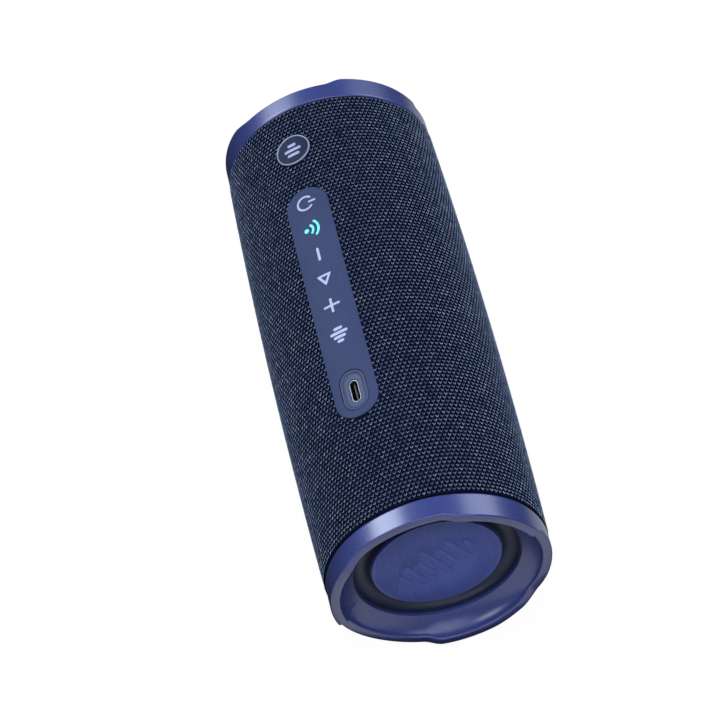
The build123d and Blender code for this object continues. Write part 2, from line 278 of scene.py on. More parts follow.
NAVY = srgb(58, 66, 122)
M = {}
M["ring"] = grained("ring_satin", srgb(52, 65, 130), 0.30, var=0.06, grain=3200, amount=0.06, Specular_IOR_Level=0.7,
                    Coat_Weight=0.12, Coat_Roughness=0.2)
M["disc"] = grained("disc_satin", srgb(80, 98, 182), 0.46, var=0.06, grain=3000, amount=0.05, Specular_IOR_Level=0.25)
M["roll"] = grained("surround_rubber", srgb(26, 36, 68), 0.5, var=0.1, grain=2400, amount=0.12)
M["strip"] = grained("strip_elastomer", srgb(56, 67, 106), 0.6, var=0.05, grain=3600, amount=0.07, Specular_IOR_Level=0.08)
M["port"] = grained("port_insert", srgb(58, 69, 104), 0.5, var=0.05, grain=3200, amount=0.05, Specular_IOR_Level=0.2)
M["badge"] = grained("badge_enamel", srgb(22, 33, 62), 0.5, var=0.05, grain=2400, amount=0.03, Specular_IOR_Level=0.12)
M["foot"] = grained("foot_silicone", srgb(30, 34, 56), 0.62, var=0.1, grain=2200, amount=0.15)
M["dark"] = grained("dark_plastic", srgb(22, 23, 28), 0.5)
M["steel"] = grained("bare_steel", (0.55, 0.56, 0.58), 0.28, var=0.05, grain=1800, amount=0.04, metallic=1.0)
M["black_steel"] = grained("black_steel", srgb(30, 30, 33), 0.4, metallic=0.4)
M["foam"] = grained("foam", srgb(24, 24, 26), 0.85, amount=0.4)
M["pcb"] = grained("solder_mask", srgb(14, 84, 44), 0.35)
M["chip"] = grained("chip_epoxy", srgb(20, 20, 22), 0.5)
M["cone"] = grained("cone_paper", srgb(28, 28, 31), 0.7, amount=0.3)
M["cap"] = grained("dust_cap_alu", (0.5, 0.51, 0.53), 0.3, metallic=1.0)
M["copper"] = grained("copper_winding", (0.72, 0.33, 0.16), 0.35, metallic=1.0)
M["cloth"] = grained("spider_cloth", srgb(170, 130, 62), 0.8, amount=0.4)
M["wrap"] = grained("cell_wrap", srgb(40, 96, 150), 0.35)
M["lead"] = grained("lead_sleeve", srgb(150, 26, 26), 0.5)
M["magnet"] = grained("zinc_pot", (0.5, 0.5, 0.52), 0.38, metallic=1.0)
M["chrome"] = grained("receptacle_nickel", (0.20, 0.21, 0.24), 0.34, var=0.03, grain=1500, amount=0.02, metallic=1.0)
M["badge_metal"] = grained("badge_metal", srgb(138, 145, 182), 0.42, var=0.04, grain=1500, amount=0.03, metallic=0.25,
                           Specular_IOR_Level=0.3)
M["contact"] = grained("contact_gold", (0.83, 0.60, 0.25), 0.25, metallic=1.0)
# printed symbols: pale print ink, plus a faint emission that paints a glow onto the print, which is no lamp
M["print"] = grained("symbol_print", srgb(150, 162, 204), 0.5, var=0.03, amount=0.04,
                     Emission_Color=(*srgb(180, 192, 236), 1), Emission_Strength=0.09)
M["lit"] = grained("symbol_lit", srgb(70, 215, 208), 0.4, var=0.03, amount=0.02,
                   Emission_Color=(*srgb(64, 226, 214), 1), Emission_Strength=0.75)


# knitted sleeve: dark ground between the stitches, with faint diagonal yarns
def ground_material():
    m, nt, p = base_mat("knit_ground", srgb(9, 13, 32), 0.9)
    p.inputs["Specular IOR Level"].default_value = 0.05
    tc = nt.nodes.new("ShaderNodeTexCoord")
    mp = nt.nodes.new("ShaderNodeMapping")
    mp.inputs["Location"].default_value = (0, 0, -AZ * MM)
    sep = nt.nodes.new("ShaderNodeSeparateXYZ")
    at = nt.nodes.new("ShaderNodeMath"); at.operation = "ARCTAN2"
    nt.links.new(tc.outputs["Object"], mp.inputs["Vector"])
    nt.links.new(mp.outputs["Vector"], sep.inputs[0])
    nt.links.new(sep.outputs["Z"], at.inputs[0])
    nt.links.new(sep.outputs["Y"], at.inputs[1])

    def wave(sign):
        a = nt.nodes.new("ShaderNodeMath"); a.operation = "MULTIPLY_ADD"; a.inputs[1].default_value = 144.0
        a.inputs[2].default_value = -math.radians(144.0 * TH)
        b = nt.nodes.new("ShaderNodeMath"); b.operation = "MULTIPLY"
        b.inputs[1].default_value = sign * 2 * math.pi / (2 * 0.00155)
        c = nt.nodes.new("ShaderNodeMath"); c.operation = "ADD"
        d = nt.nodes.new("ShaderNodeMath"); d.operation = "COSINE"
        e_ = nt.nodes.new("ShaderNodeMath"); e_.operation = "MULTIPLY"; e_.inputs[1].default_value = -1.0
        nt.links.new(at.outputs[0], a.inputs[0])
        nt.links.new(sep.outputs["X"], b.inputs[0])
        nt.links.new(a.outputs[0], c.inputs[0])
        nt.links.new(b.outputs[0], c.inputs[1])
        nt.links.new(c.outputs[0], d.inputs[0])
        nt.links.new(d.outputs[0], e_.inputs[0])
        return e_.outputs[0]
    mx = nt.nodes.new("ShaderNodeMath"); mx.operation = "MAXIMUM"
    nt.links.new(wave(1), mx.inputs[0])
    nt.links.new(wave(-1), mx.inputs[1])
    r = nt.nodes.new("ShaderNodeValToRGB")
    r.color_ramp.elements[0].position = 0.30
    r.color_ramp.elements[1].position = 0.95
    r.color_ramp.elements[0].color = (*srgb(2, 4, 16), 1)
    r.color_ramp.elements[1].color = (*srgb(12, 19, 46), 1)
    nt.links.new(mx.outputs[0], r.inputs["Fac"])
    nt.links.new(r.outputs["Color"], p.inputs["Base Color"])
    bump(nt, p, mx.outputs[0], 0.5, 0.00012)
    return m


M["ground"] = ground_material()
YARN = []
for i, (c, ro) in enumerate([((124, 143, 182), 0.5), ((109, 128, 170), 0.5), ((151, 169, 200), 0.5), ((91, 109, 151), 0.5)]):
    m, nt, p = base_mat(f"knit_yarn_{i}", srgb(*c), ro)
    p.inputs["Specular IOR Level"].default_value = 0.0
    YARN.append(m)


# ------------------------------------------------------------------ flat regions laid over the barrel
from mathutils.geometry import delaunay_2d_cdt


def stadium(length, width, cx=0.0, cw=0.0, na=28, ns=14):
    """Outline with round ends; always 2 * (na + ns) points, so that outlines of different sizes can be joined."""
    r, h = width / 2, (length - width) / 2
    a = np.radians(np.linspace(-90, 90, na, endpoint=False))
    s = np.linspace(0, 1, ns, endpoint=False)
    right = np.stack([h + r * np.cos(a), r * np.sin(a)], -1)
    top = np.stack([h - 2 * h * s, np.full(ns, r)], -1)
    left = np.stack([-h - r * np.cos(a), -r * np.sin(a)], -1)
    bot = np.stack([-h + 2 * h * s, np.full(ns, -r)], -1)
    return np.concatenate([right, top, left, bot]) + (cx, cw)


def circle(r, cx=0.0, cw=0.0, n=48):
    a = 2 * math.pi * np.arange(n) / n
    return np.stack([cx + r * np.cos(a), cw + r * np.sin(a)], -1)


def inside(pts, loop):
    """Even-odd test of points against a closed loop."""
    x, y = pts[:, 0][:, None], pts[:, 1][:, None]
    a, b = loop, np.roll(loop, -1, 0)
    cond = (a[:, 1] > y) != (b[:, 1] > y)
    with np.errstate(divide="ignore", invalid="ignore"):
        xi = (b[:, 0] - a[:, 0]) * (y - a[:, 1]) / (b[:, 1] - a[:, 1]) + a[:, 0]
    return (cond & (x < xi)).sum(1) % 2 == 1


def near(pts, loop, d):
    """Points nearer than d to a densely sampled loop."""
    out = np.zeros(len(pts), bool)
    for i in range(0, len(pts), 500):
        q = pts[i:i + 500]
        out[i:i + 500] = (np.linalg.norm(q[:, None] - loop[None], axis=2).min(1) < d)
    return out


def fill(outer, holes=(), step=1.0):
    """Triangles over a region with holes: (points, triangles)."""
    lo, hi = outer.min(0), outer.max(0)
    gx, gy = np.meshgrid(np.arange(lo[0] + step / 2, hi[0], step), np.arange(lo[1] + step / 2, hi[1], step * 0.866))
    gx = gx + (np.arange(gx.shape[0]) % 2)[:, None] * step / 2
    g = np.stack([gx.ravel(), gy.ravel()], -1)
    if len(g):
        g = g[inside(g, outer)]
    loops = [outer, *holes]
    for h in holes:
        if len(g):
            g = g[~inside(g, h)]
    dense = []
    for lp in loops:
        nx = np.roll(lp, -1, 0)
        for t in (0, 0.25, 0.5, 0.75):
            dense.append(lp * (1 - t) + nx * t)
    if len(g):
        g = g[~near(g, np.concatenate(dense), step * 0.45)]
    pts = np.concatenate([*loops, g]) if len(g) else np.concatenate(loops)
    edges, k = [], 0
    for lp in loops:
        n = len(lp)
        edges += [(k + i, k + (i + 1) % n) for i in range(n)]
        k += n
    r = delaunay_2d_cdt([Vector(p) for p in pts.tolist()], edges, [], 0, 1e-7, False)
    v = np.array([[p.x, p.y] for p in r[0]])
    f = np.array([t for t in r[2] if len(t) == 3])
    c = v[f].mean(1)
    keep = inside(c, outer)
    for h in holes:
        keep &= ~inside(c, h)
    f = f[keep]
    a, b, c = v[f[:, 0]], v[f[:, 1]], v[f[:, 2]]
    flip = (b[:, 0] - a[:, 0]) * (c[:, 1] - a[:, 1]) - (b[:, 1] - a[:, 1]) * (c[:, 0] - a[:, 0]) < 0
    f[flip] = f[flip][:, ::-1]
    return v, f


class Build:
    """Collects faces of one mesh; points are given as (x, w, offset) over the sleeve's surface."""

    def __init__(self, place=on_strip):
        self.v, self.f, self.m, self.n, self.place = [], [], [], 0, place

    def add(self, pts, faces, mat=0):
        self.v.append(pts)
        self.f += [tuple(int(i) + self.n for i in q) for q in faces]
        self.m += [mat] * len(faces)
        self.n += len(pts)

    def cap(self, outer, holes, off, up=True, step=1.0, mat=0):
        v, f = fill(outer, holes, step)
        o = off(v) if callable(off) else off
        self.add(self.place(v[:, 0], v[:, 1], o), f if up else f[:, ::-1], mat)

    def wall(self, loops, hole=False, mat=0):
        """Quads between loops of equal length, listed from the top down: [(loop, off), ...]."""
        for (l0, o0), (l1, o1) in zip(loops, loops[1:]):
            n = len(l0)
            p = np.concatenate([self.place(l0[:, 0], l0[:, 1], o0), self.place(l1[:, 0], l1[:, 1], o1)])
            q = [(i, i + n, (i + 1) % n + n, (i + 1) % n) for i in range(n)]
            self.add(p, [t[::-1] for t in q] if hole else q, mat)

    def done(self, name, mats, sharp=35):
        o = obj(name, np.concatenate(self.v), self.f, mats, sharp=None, fmat=self.m)
        bm = bmesh.new()
        bm.from_mesh(o.data)
        bmesh.ops.remove_doubles(bm, verts=bm.verts, dist=2e-6)
        bmesh.ops.recalc_face_normals(bm, faces=bm.faces)
        bm.to_mesh(o.data)
        bm.free()
        o.data.polygons.foreach_set("use_smooth", [True] * len(o.data.polygons))
        return sharpen(o, sharp)


def rounding(r, n=4):
    """(inset, drop) pairs of a rounded edge, from the flat top outwards and down."""
    return [(r * (1 - math.sin(t)), r * (1 - math.cos(t))) for t in np.linspace(0, math.pi / 2, n + 1)]


def capsule(x0, w0, x1, w1, width, n=8):
    """Loop of a rounded bar between two points."""
    d = np.array([x1 - x0, w1 - w0], float)
    a0 = math.atan2(d[1], d[0])
    r = width / 2
    pts = []
    for k in range(n + 1):
        a = a0 - math.pi / 2 + math.pi * k / n
        pts.append((x1 + r * math.cos(a), w1 + r * math.sin(a)))
    for k in range(n + 1):
        a = a0 + math.pi / 2 + math.pi * k / n
        pts.append((x0 + r * math.cos(a), w0 + r * math.sin(a)))
    return dense(np.array(pts), 0.4)


def dense(loop, step):
    out = []
    for a, b in zip(loop, np.roll(loop, -1, 0)):
        n = max(1, int(np.linalg.norm(b - a) / step))
        out += [a + (b - a) * k / n for k in range(n)]
    return np.array(out)


def arc_bar(cx, cw, r, a0, a1, width, n=40):
    """Loop of an arc-shaped bar with round ends; angles from +x towards +w."""
    h = width / 2
    a = np.radians(np.linspace(a0, a1, n))
    outer = np.stack([cx + (r + h) * np.cos(a), cw + (r + h) * np.sin(a)], -1)
    inner = np.stack([cx + (r - h) * np.cos(a[::-1]), cw + (r - h) * np.sin(a[::-1])], -1)
    caps = []
    for ang, s in ((a[-1], 0), (a[0], math.pi)):
        c = np.array([cx + r * math.cos(ang), cw + r * math.sin(ang)])
        t = np.linspace(0, math.pi, 8)[1:-1] + ang + s
        caps.append(np.stack([c[0] + h * np.cos(t), c[1] + h * np.sin(t)], -1))
    return np.concatenate([outer, caps[0], inner, caps[1]])


def poly(points, r=0.25, n=4):
    """Closed polygon with rounded corners."""
    p = np.array(points, float)
    out = []
    for i in range(len(p)):
        a, b, c = p[i - 1], p[i], p[(i + 1) % len(p)]
        u, v = (a - b) / np.linalg.norm(a - b), (c - b) / np.linalg.norm(c - b)
        half = math.acos(np.clip(u @ v, -1, 1)) / 2
        d = r / math.tan(half)
        ctr = b + (u + v) / np.linalg.norm(u + v) * (r / math.sin(half))
        s, e = b + u * d - ctr, b + v * d - ctr
        a0, a1 = math.atan2(s[1], s[0]), math.atan2(e[1], e[0])
        da = (a1 - a0 + math.pi) % (2 * math.pi) - math.pi
        for k in range(n + 1):
            t = a0 + da * k / n
            out.append(ctr + r * np.array([math.cos(t), math.sin(t)]))
    return dense(np.array(out), 0.5)


def extruded(b, loop, top, bottom, holes=(), step=1.0, mat=0):
    b.cap(loop, holes, top, True, step, mat)
    b.cap(loop, holes, bottom, False, step, mat)
    b.wall([(loop, top), (loop, bottom)], mat=mat)
    for h in holes:
        b.wall([(h, top), (h, bottom)], hole=True, mat=mat)


# ------------------------------------------------------------------ control strip
GAP = 0.025                     # play between a key and its hole
b = Build()
er = 0.26
key_loops = {k: circle(KEY_R + GAP, KEY_X[k], 0, 56) for k in KEYS}
port_loop = stadium(PORT_L + 0.4, PORT_W + 0.4, PORT_X, 0, 28, 10)


def strip_loop(inset):
    return stadium(STRIP_L - 2 * inset, STRIP_W - 2 * inset, STRIP_X, 0, 36, 86)


prof = [(strip_loop(i), -d) for i, d in rounding(er, 5)]
b.cap(prof[0][0], [*key_loops.values(), port_loop], 0.0, True, 1.1)
b.wall(prof + [(strip_loop(0), -0.28), (strip_loop(1.2), -0.28), (strip_loop(1.2), -3.0)])
b.cap(strip_loop(1.2), [*key_loops.values(), port_loop], -3.0, False, 2.5)
for h in [*key_loops.values(), port_loop]:
    b.wall([(h, 0.0), (h, -3.0)], hole=True)
strip = b.done("visual_control_strip", [M["strip"]])
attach(strip, "speaker")
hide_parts("control_strip")

# keys, flush with the strip, each with its printed symbol
for k in KEYS:
    b = Build()
    lp = circle(KEY_R - 0.01, KEY_X[k], 0, 56)
    extruded(b, lp, 0.0, -2.2, step=1.1)
    st = circle(1.4, KEY_X[k], 0, 20)
    n0 = 36.4
    b.cap(st, (), -2.25, True, 1.0)
    b.cap(st, (), n0 - r_out(KEY_X[k]), False, 1.0)
    b.wall([(st, -2.25), (st, n0 - r_out(KEY_X[k]))])
    o = b.done("visual_key_" + k, [M["strip"]])
    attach(o, "key_" + k)
    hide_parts("key_" + k)

RISE, SINK = 0.035, -0.12


def symbol(k, loops, mat, name):
    b = Build()
    for lp in loops:
        lp, holes = lp if isinstance(lp, tuple) else (lp, ())
        extruded(b, lp, RISE, SINK, holes, step=0.6)
    o = b.done(name, [M[mat]])
    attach(o, "key_" + k)
    return o


x = KEY_X["power"]
symbol("power", [arc_bar(x - 0.1, -0.25, 2.85, 90 + 43, 90 + 360 - 43, 0.78), capsule(x - 0.1, 1.35, x - 0.1, 3.35, 0.78)],
       "print", "symbol_power")
x = KEY_X["pairing"]
symbol("pairing", [circle(0.85, x, -2.15, 24), arc_bar(x, -2.15, 2.55, 48, 132, 0.78), arc_bar(x, -2.15, 4.55, 48, 132, 0.78)],
       "lit", "symbol_pairing")
x = KEY_X["volume_down"]
symbol("volume_down", [capsule(x - 2.4, 0, x + 2.4, 0, 0.95)], "print", "symbol_volume_down")
x = KEY_X["play"]
symbol("play", [(poly([(x - 1.95, -2.8), (x + 3.05, 0), (x - 1.95, 2.8)], 0.3),
                 (poly([(x - 1.1, -1.35), (x + 1.25, 0), (x - 1.1, 1.35)], 0.12)[::-1],))], "print", "symbol_play")
x = KEY_X["volume_up"]
h = 0.45
symbol("volume_up", [poly([(x - h, -3.0), (x + h, -3.0), (x + h, -h), (x + 3.05, -h), (x + 3.05, h), (x + h, h),
                           (x + h, 3.0), (x - h, 3.0), (x - h, h), (x - 3.05, h), (x - 3.05, -h), (x - h, -h)], 0.12)],
       "print", "symbol_volume_up")
x = KEY_X["mode"]
symbol("mode", [capsule(x - 2.7, -1.1, x - 2.7, 1.1, 1.15), capsule(x - 0.9, -2.7, x - 0.9, 2.7, 1.15),
                capsule(x + 0.9, -1.7, x + 0.9, 1.7, 1.15), capsule(x + 2.7, -0.7, x + 2.7, 0.7, 1.15)],
       "print", "symbol_mode")

# ------------------------------------------------------------------ charging port: oval insert with a shallow dish
FLOOR_OFF = -1.0


def port(inset):
    return stadium(PORT_L - 2 * inset, PORT_W - 2 * inset, PORT_X, 0, 28, 14)


def usb(grow):
    return stadium(8.94 + 2 * grow, 3.26 + 2 * grow, USB_X, 0, 14, 12)


def lv(loop, n):
    """Offsets that put points on the flat plane at height n above the axis."""
    return np.sqrt(n ** 2 + loop[:, 1] ** 2) - r_out(loop[:, 0])


FN = r_out(PORT_X) - 0.7                  # height of the dish's flat floor
b = Build()
b.wall([(port(0.30), -0.05), (port(0.20), -0.07), (port(0.14), -0.15), (port(0.12), -0.60), (port(-0.17), -0.68), (port(-0.17), -2.6)])
inner = [(port(0.30), np.full(len(port(0)), -0.05))]
for ins, t in ((0.50, 0.04), (0.68, 0.14), (0.88, 0.34), (1.1, 0.60), (1.35, 0.82), (1.6, 0.95)):
    lp = port(ins)
    inner.append((lp, (1 - t) * -0.05 + t * lv(lp, FN)))
lp = port(1.9)
inner.append((lp, lv(lp, FN)))
b.wall(inner[::-1], hole=True)
u = [usb(0.34), usb(0.16), usb(0.05)]
b.cap(lp, [u[0]], lambda v: lv(v, FN), True, 0.8)
b.wall([(u[0], lv(u[0], FN)), (u[1], lv(u[1], FN - 0.05)), (u[2], lv(u[2], FN - 0.2)), (u[2], -2.6 + 0 * u[2][:, 0])], hole=True)
b.cap(port(-0.17), [u[2]], -2.6, False, 1.4)
bez = b.done("visual_usb_bezel", [M["port"]], sharp=50)
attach(bez, "speaker")
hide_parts("usb_bezel")

# receptacle: rolled steel shell with a rounded mouth
b = Build()
MN = FN - 0.32
rings = [(usb(0.0), 30.9), (usb(0.0), MN - 0.08), (usb(-0.03), MN - 0.02), (usb(-0.08), MN), (usb(-0.22), MN),
         (usb(-0.28), MN - 0.03), (usb(-0.31), MN - 0.10), (usb(-0.31), 31.4)]
b.wall([(lp, lv(lp, n)) for lp, n in rings][::-1])
b.cap(usb(-0.31), (), lambda v: lv(v, 31.4), True, 1.0)
b.cap(usb(0.0), (), lambda v: lv(v, 30.9), False, 1.0)
o = b.done("visual_usb_shell", [M["chrome"]])
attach(o, "speaker")
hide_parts("usb_shell")

# tongue with a rounded nose and its row of contacts
b = Build()
TN = MN - 0.9


def tongue(grow):
    return stadium(6.7 + 2 * grow, 0.7 + 2 * grow, USB_X, 0, 8, 12)


rings = [(tongue(-0.12), TN), (tongue(-0.03), TN - 0.06), (tongue(0), TN - 0.2), (tongue(0), 31.45)]
b.wall([(lp, lv(lp, n)) for lp, n in rings])
b.cap(tongue(-0.12), (), lambda v: lv(v, TN), True, 0.6)
b.cap(tongue(0), (), lambda v: lv(v, 31.45), False, 0.6)
o = b.done("visual_usb_tongue", [M["dark"]])
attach(o, "speaker")
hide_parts("usb_tongue")
b = Build()
for side in (-1, 1):
    for i in range(12):
        cx = USB_X - 2.75 + 0.5 * i
        lp = np.array([[cx - 0.13, side * 0.34], [cx + 0.13, side * 0.34], [cx + 0.13, side * 0.39], [cx - 0.13, side * 0.39]])
        if side < 0:
            lp = lp[::-1]
        b.cap(lp, (), lambda v: lv(v, TN - 0.3), True, 5)
        b.cap(lp, (), lambda v: lv(v, TN - 3.2), False, 5)
        b.wall([(lp, lv(lp, TN - 0.3)), (lp, lv(lp, TN - 3.2))])
o = b.done("usb_contacts", [M["contact"]])
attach(o, "speaker")
# back wall of the receptacle's mouth, in black insulator
b = Build()
lp, hole = usb(-0.34), tongue(0.02)
b.cap(lp, [hole], lambda v: lv(v, 32.6), True, 0.8)
b.cap(lp, [hole], lambda v: lv(v, 31.5), False, 0.8)
b.wall([(lp, lv(lp, 32.6)), (lp, lv(lp, 31.5))])
b.wall([(hole, lv(hole, 32.6)), (hole, lv(hole, 31.5))], hole=True)
o = b.done("usb_insulator", [M["dark"]])
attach(o, "speaker")

# ------------------------------------------------------------------ badge: bevelled metal ring, enamel disc, neutral mark
b = Build()


def bc(r):
    return circle(r, BADGE_X, 0, 72)


R0, R1 = BADGE_R, BADGE_R - 0.55
b.wall([(bc(R1), -0.29), (bc(R1), 0.02), (bc(R1 + 0.08), 0.14), (bc(R1 + 0.18), 0.2), (bc(R0 - 0.2), 0.2), (bc(R0 - 0.08), 0.14),
        (bc(R0), 0.0), (bc(R0), -0.29), (bc(R1), -0.29)][::-1])
o = b.done("visual_badge_ring", [M["badge_metal"]], sharp=50)
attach(o, "speaker")
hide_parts("badge_ring")
b = Build()
b.wall([(bc(R1 - 0.03), -0.1), (bc(R1 - 0.03), -0.29)])
b.cap(bc(R1 - 0.03), (), -0.1, True, 1.1)
b.cap(bc(R1 - 0.03), (), -0.29, False, 2.0)
o = b.done("visual_badge_plate", [M["badge"]])
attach(o, "speaker")
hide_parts("badge_plate")
b = Build()
for dx, hh in ((-2.2, 1.0), (0.0, 2.6), (2.2, 1.7)):
    extruded(b, capsule(BADGE_X + dx, -hh, BADGE_X + dx, hh, 1.25), -0.03, -0.2, step=0.8)
o = b.done("badge_mark", [M["badge_metal"]])
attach(o, "speaker")

# ------------------------------------------------------------------ end rings
# raised lobes: (start, half width of its ramp, end, half width of its ramp)
HI = [(31.0, 1.3, 87.0, 5.5), (-93.0, 5.0, -33.0, 8.0), (147.0, 8.0, 204.0, 1.3)]


def lobe(th):
    """0 on the low arcs, 1 on the raised lobes."""
    th = np.asarray(th, float)
    w = np.zeros_like(th)
    for a, ra, c, rc in HI:
        m, half = (a + c) / 2, (c - a) / 2
        d = (th - m + 180) % 360 - 180
        w = np.maximum(w, smooth((half + ra + d) / (2 * ra)) * smooth((half + rc - d) / (2 * rc)))
    return w


def swell(t, middle, half):
    return float(smooth(1 - abs((t - middle + 180) % 360 - 180) / half))


def lean(side, t):
    """Slow rise and fall of the crest round each end."""
    if side == "right":
        return (1.1 * math.cos(math.radians(t - 105)) - 0.9 * swell(t, -36, 26) - 0.85 * swell(t, -122, 44)
                - 0.6 * swell(t, 2, 42))
    return 0.25 + 1.35 * swell(t, 170, 52)


NT = 960
ths = 360.0 * np.arange(NT) / NT
for side, sg in S.items():
    secs = []
    for t, w in zip(ths, lobe(ths)):
        h = LOW + (HIGH - LOW) * w + lean(side, t)
        ro = 0.6
        RO = R_RING
        p = [(-4.9, 35.5), (-0.15, 35.5), (-0.05, 36.0), (0.0, RO - 1.0)]
        p += arc(1.0, RO - 1.0, 1.0, 180, 90, 7)[1:] + [(1.15, RO)]
        p += [(h - ro - 0.4, RO), (h - ro - 0.1, RO)]
        p += arc(h - ro, RO - ro, ro, 90, 0, 9)
        p += [(h + 0.04, RO - ro - 0.1), (h + 0.08, RO - 2.75)]
        p += arc(h + 0.08 - 0.75, RO - 2.8, 0.75, 0, -90, 7)[1:]
        ri = R_RING - 3.55
        p += bezier((h - 0.95, ri - 0.01), (3.6, ri - 0.25), (0.8, 28.4), 15)
        p += [(0.55, 28.35), (-0.3, 28.4), (-0.3, 29.3), (3.2, 33.2), (3.3, 34.25), (-4.9, 34.25)]
        secs.append([(H + a, r) for a, r in p])
    o = lathe("visual_end_ring_" + side, secs, True, [M["ring"]], sharp=42, x_sign=sg)
    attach(o, "speaker")
    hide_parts("end_ring_" + side)

# ------------------------------------------------------------------ passive radiators
RM = 25.2


def mid3(p0, p1, p2, n):
    """Arc through three points."""
    (ax_, ay), (bx, by), (cx, cy) = p0, p1, p2
    d = 2 * (ax_ * (by - cy) + bx * (cy - ay) + cx * (ay - by))
    ux = ((ax_ ** 2 + ay ** 2) * (by - cy) + (bx ** 2 + by ** 2) * (cy - ay) + (cx ** 2 + cy ** 2) * (ay - by)) / d
    uy = ((ax_ ** 2 + ay ** 2) * (cx - bx) + (bx ** 2 + by ** 2) * (ax_ - cx) + (cx ** 2 + cy ** 2) * (bx - ax_)) / d
    r = math.hypot(ax_ - ux, ay - uy)
    a0, a1, a2 = (math.atan2(y - uy, x - ux) for x, y in (p0, p1, p2))
    d1 = (a1 - a0 + math.pi) % (2 * math.pi) - math.pi
    d2 = (a2 - a1 + math.pi) % (2 * math.pi) - math.pi
    k = np.linspace(0, 2, 2 * n + 1)
    return [(ux + r * math.cos(a0 + d1 * min(t, 1) + d2 * max(t - 1, 0)), uy + r * math.sin(a0 + d1 * min(t, 1) + d2 * max(t - 1, 0)))
            for t in k]


